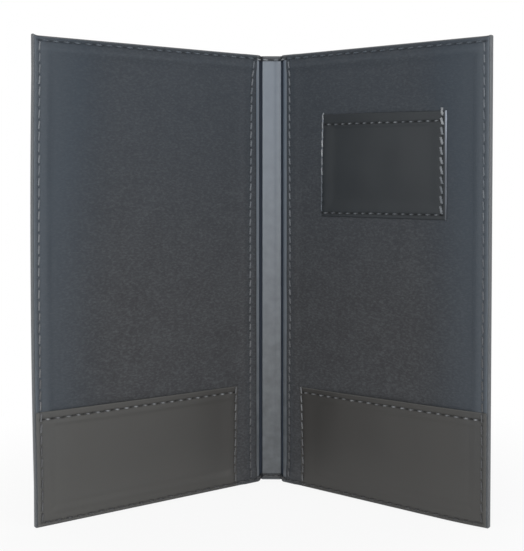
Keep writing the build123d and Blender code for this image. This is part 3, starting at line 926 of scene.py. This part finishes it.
thread = {
    "radius": 0.4, "plies": 0.18, "turns": 2.0, "around": 10, "flatten": 0.88,
    "above": 0.62, "bedded": 0.12,  # its middle over the sheet in radii, less how deep it beds
    "dive": 1.05, "thinned": 0.25,  # at a hole: how deep, and how much thinner
    "enter": (2.0, 0.95),           # length of its slope out of a hole, level and upright
    "bow": 0.08, "unevenWear": (0.6, 1.3), "lintAtHead": 0.4,
}
seamLooks = {
    # on level and on upright stitches: how strong the painted highlight on the thread is, how far
    # from a hole its painted shade reaches, how dark that painted shade is; thickness, slant; the
    # share of the painted highlight left at the foot, and from what height to what height it
    # grows
    "rim": ((0.05, 0.28), (2.8, 1.1), (0.7, 0.06), 1.15, 0.15, (0.5, 30.0, 70.0)),
    "hinge": ((0.3, 0.28), (2.8, 1.2), (0.85, 0.2), 1.1, 0.2, (0.5, 10.0, 120.0)),
    "billHem": ((0.6, 0.6), (3.3, 1.0), (0.9, 0.8), 1.05, 0.12, (1.0, 0.0, 1.0)),
    "billSide": ((0.33, 0.33), (3.0, 0.8), (0.8, 0.5), 1.1, 0.2, (0.6, 8.0, 45.0)),
    "cardHem": ((0.6, 0.6), (3.5, 1.0), (0.95, 0.8), 1.0, 0.08, (1.0, 0.0, 1.0)),
    "cardSill": ((0.4, 0.4), (3.5, 1.0), (0.95, 0.8), 1.0, 0.08, (1.0, 0.0, 1.0)),
    "cardNear": ((0.8, 0.8), (3.0, 0.5), (0.8, 0.3), 1.15, 0.12, (0.1, 172.0, 208.0)),
    "cardFar": ((0.56, 0.56), (3.0, 0.8), (0.8, 0.6), 1.8, 0.5, (0.5, 172.0, 212.0)),
}
stepsAlong = np.array([0, .05, .1, .15, .2, .25, .3, .36, .43, .5, .57, .64, .7, .75, .8, .85,
                       .9, .95, 1])


def onBack(side, q, z):
    return 0 * q - coverThick


def onCard(side, q, z):
    start, end, sill, mouth = cardEdges(q, z)
    over = smooth(mouth - z, -0.4, 0.3)     # the corner tacks run off the mouth on to the lining
    return cardTop(side, q, z) * over + liningTop(side, q, z) * (1 - over)


def makeStitches(name, side, seamNames, surface, outward, nodes):
    # outward is 1 on the inside, -1 on the back
    dice = np.random.default_rng(len(name))
    points, faces, wear, shadow = [], [], [], []
    around, s = thread["around"], stepsAlong
    angle = np.linspace(0, 2 * math.pi, around, endpoint=False)
    stitches = [(*stitch, seamLooks[seam]) for seam in seamNames for stitch in runs[side][seam]]
    for q0, z0, q1, z1, look in stitches:
        length = math.hypot(q1 - q0, z1 - z0)
        run, rise = (q1 - q0) / length, (z1 - z0) / length
        *byHeading, heft, slant, (left, low, high) = look
        pale, dark, gap, enter = (np.interp(abs(rise), (0, 1), pair)
                                  for pair in (*byHeading, thread["enter"]))
        nearHole = np.minimum(s, 1 - s) * length
        clear = smooth(nearHole, 0.2, enter)
        lift = thread["radius"] * thread["above"] * clear - thread["dive"] * (1 - clear)
        q, z = q0 + (q1 - q0) * s, z0 + (z1 - z0) * s
        w = surface(side, q, z) + outward * (lift - thread["bedded"])
        bow = dice.uniform(-thread["bow"], thread["bow"]) * np.sin(math.pi * s)
        bow -= slant * np.cos(math.pi * s)
        twist = 2 * math.pi * thread["turns"] * s + dice.uniform(0, 2 * math.pi)
        size = thread["radius"] * heft * (1 - thread["thinned"] * (1 - clear))
        plies = 1 + thread["plies"] * np.cos(2 * (angle - twist[:, None]))
        lateral = size[:, None] * plies * np.cos(angle) + bow[:, None]
        up = size[:, None] * plies * np.sin(angle) * thread["flatten"]
        flat = [q[:, None] - rise * lateral, w[:, None] + up, z[:, None] + run * lateral]
        base = sum(part.shape[1] for part in points)
        points.append(np.reshape(flat, (3, -1)))
        # painted highlight on each stitch's middle, painted shade where it dives into the holes
        lit = smooth(nearHole, 0.2 * dark, 0.85 * dark)
        pale = pale * (left + (1 - left) * smooth(z0, low, high))
        if "rim" in seamNames:
            # the rim thread's painted highlight is stronger on the left, with a painted glint at
            # the spine's head
            pale = pale * handled[side]["fuzz"] + thread["lintAtHead"] * (q0 < 0 and z0 > 200)
        wear.append(np.repeat(pale * dice.uniform(*thread["unevenWear"]) * lit, around))
        shadow.append(np.repeat(gap * (1 - lit), around))
        rings = [[base + i * around + k for k in range(around)] for i in range(len(s))]
        faces += [[a, b, b + around, a + around]
                  for ring in rings[:-1] for a, b in zip(ring, ring[1:] + ring[:1])]
        faces += [rings[0][::-1], rings[-1]]
    q, w, z = np.concatenate(points, axis=1)
    # painted cool light towards the top
    marks = (np.concatenate(wear), np.concatenate(shadow), smooth(z, 50.0, 200.0))
    piece = addMesh(name, side, q, w, z, faces, seamThread, marks)
    if "rim" in seamNames:
        joinBodies(piece)
    else:
        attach(piece, f"{side}_leaf")
    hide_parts(*nodes)


sewing = {
    # seams, the face they lie on, which way is out, nodes they dress
    "RimStitchesInside": (["rim"], innerFace, 1, ["{}_rim_thread_inside", "spine_thread_inside"]),
    "RimStitchesBack": (["rim"], onBack, -1, ["{}_rim_thread_outside", "spine_thread_outside"]),
    "HingeStitchesInside": (["hinge"], innerFace, 1, ["{}_hinge_thread_inside"]),
    "HingeStitchesBack": (["hinge"], onBack, -1, ["{}_hinge_thread_outside"]),
    "BillHemStitches": (["billHem"], billTop, 1, ["{}_bill_hem_thread"]),
    "BillSideStitches": (["billSide"], billTop, 1, ["{}_bill_side_thread"]),
}
for side in ("left", "right"):
    for name, (*how, nodes) in sewing.items():
        makeStitches(side + name, side, *how, [node.format(side) for node in nodes])
makeStitches("cardHemStitches", "right", ["cardHem"], onCard, 1, ["card_pocket_hem_thread"])
makeStitches("cardEdgeStitches", "right", ["cardNear", "cardFar", "cardSill"], onCard, 1,
             ["card_pocket_edge_thread"])
print("seams sewn")

for node in ("left_board", "right_board", "spine_board"):
    board = frame["nodes"][node]
    board.data.materials.clear()
    board.data.materials.append(greyboard)


# stage

stage = {
    "halfWidth": 2.5, "front": -2.5, "back": 1.6, "cove": 0.9, "top": 3.0,     # metres
    "paper": "#f2f2f2",
    "glow": 0.9, "glowFrom": 0.08, "glowTo": 0.3,   # white to the eye, but for a faint shadow
    "skyTint": (0.97, 0.98, 1.0, 1), "sky": 0.34,
}
lamps = {
    # place, aim and size in metres, watts
    "frontBox": ((0.0, -0.95, 0.36), (0, 0, 0.14), (0.9, 0.66), 5),
    "leftBox": ((-1.1, -0.75, 0.25), (0, 0, 0.13), (0.22, 0.9), 3.2),
    "rightBox": ((1.1, -0.72, 0.25), (0, 0, 0.13), (0.22, 0.9), 6),
}


def shownShare(add):
    # 1 to the eye, straight, off gloss or through a surface; 0 to the light that bounces
    rays = add("ShaderNodeLightPath")
    share = rays.outputs["Is Camera Ray"]
    for kind in ("Is Glossy Ray", "Is Transmission Ray"):
        share = add("ShaderNodeMath", {}, {0: share, 1: rays.outputs[kind]},
                    operation="MAXIMUM").outputs[0]
    return share


def makeStage():
    # A pale sweep: floor, cove and wall in one
    radius, back = stage["cove"], stage["back"]
    profile = [(stage["front"], 0.0), (back - radius, 0.0)]
    profile += [(back - radius + radius * math.sin(a), radius - radius * math.cos(a))
                for a in np.radians(np.linspace(6, 90, 15))]
    profile += [(back, stage["top"])]
    vertices = [(x, y, z) for y, z in profile for x in (-stage["halfWidth"], stage["halfWidth"])]
    faces = [[2 * i, 2 * i + 1, 2 * i + 3, 2 * i + 2] for i in range(len(profile) - 1)]
    mesh = bpy.data.meshes.new("paperSweep")
    mesh.from_pydata(vertices, [], faces)
    mesh.shade_smooth()
    sweep = addObject("paperSweep", mesh)
    material, add = newMaterial("paperSweepWhite")
    paper = add("ShaderNodeBsdfDiffuse", {"Color": linear(stage["paper"])})
    glow = add("ShaderNodeEmission", {"Strength": 1.0})
    spot = add("ShaderNodeNewGeometry").outputs["Position"]
    far = add("ShaderNodeVectorMath", {}, {0: spot}, operation="DISTANCE")
    fade = add("ShaderNodeMapRange", {"From Min": stage["glowFrom"], "From Max": stage["glowTo"],
                                      "To Min": stage["glow"]},
               {"Value": far.outputs["Value"]}, interpolation_type="SMOOTHSTEP")
    share = add("ShaderNodeMath", {}, {0: shownShare(add), 1: fade.outputs[0]},
                operation="MULTIPLY")
    mixed = add("ShaderNodeMixShader", {},
                {0: share.outputs[0], 1: paper.outputs[0], 2: glow.outputs[0]})
    mesh.materials.append(finished(material, mixed))


def makeLights():
    world = bpy.data.worlds.new("studio")
    add = emptied(world)
    soft = add("ShaderNodeBackground", {"Color": stage["skyTint"], "Strength": stage["sky"]})
    white = add("ShaderNodeBackground", {"Color": (1, 1, 1, 1)})
    both = add("ShaderNodeMixShader", {},
               {0: shownShare(add), 1: soft.outputs[0], 2: white.outputs[0]})
    add("ShaderNodeOutputWorld", {}, {"Surface": both.outputs[0]})
    scene.world = world
    for name, (spot, aim, size, watts) in lamps.items():
        data = bpy.data.lights.new(name, "AREA")
        data.shape = "RECTANGLE"
        data.size, data.size_y = size
        data.energy = watts
        light = addObject(name, data)
        light.location = spot
        light.rotation_euler = (Vector(aim) - Vector(spot)).to_track_quat("-Z", "Y").to_euler()


makeStage()
makeLights()
scene.view_settings.view_transform = "Standard"
print("stage lit")
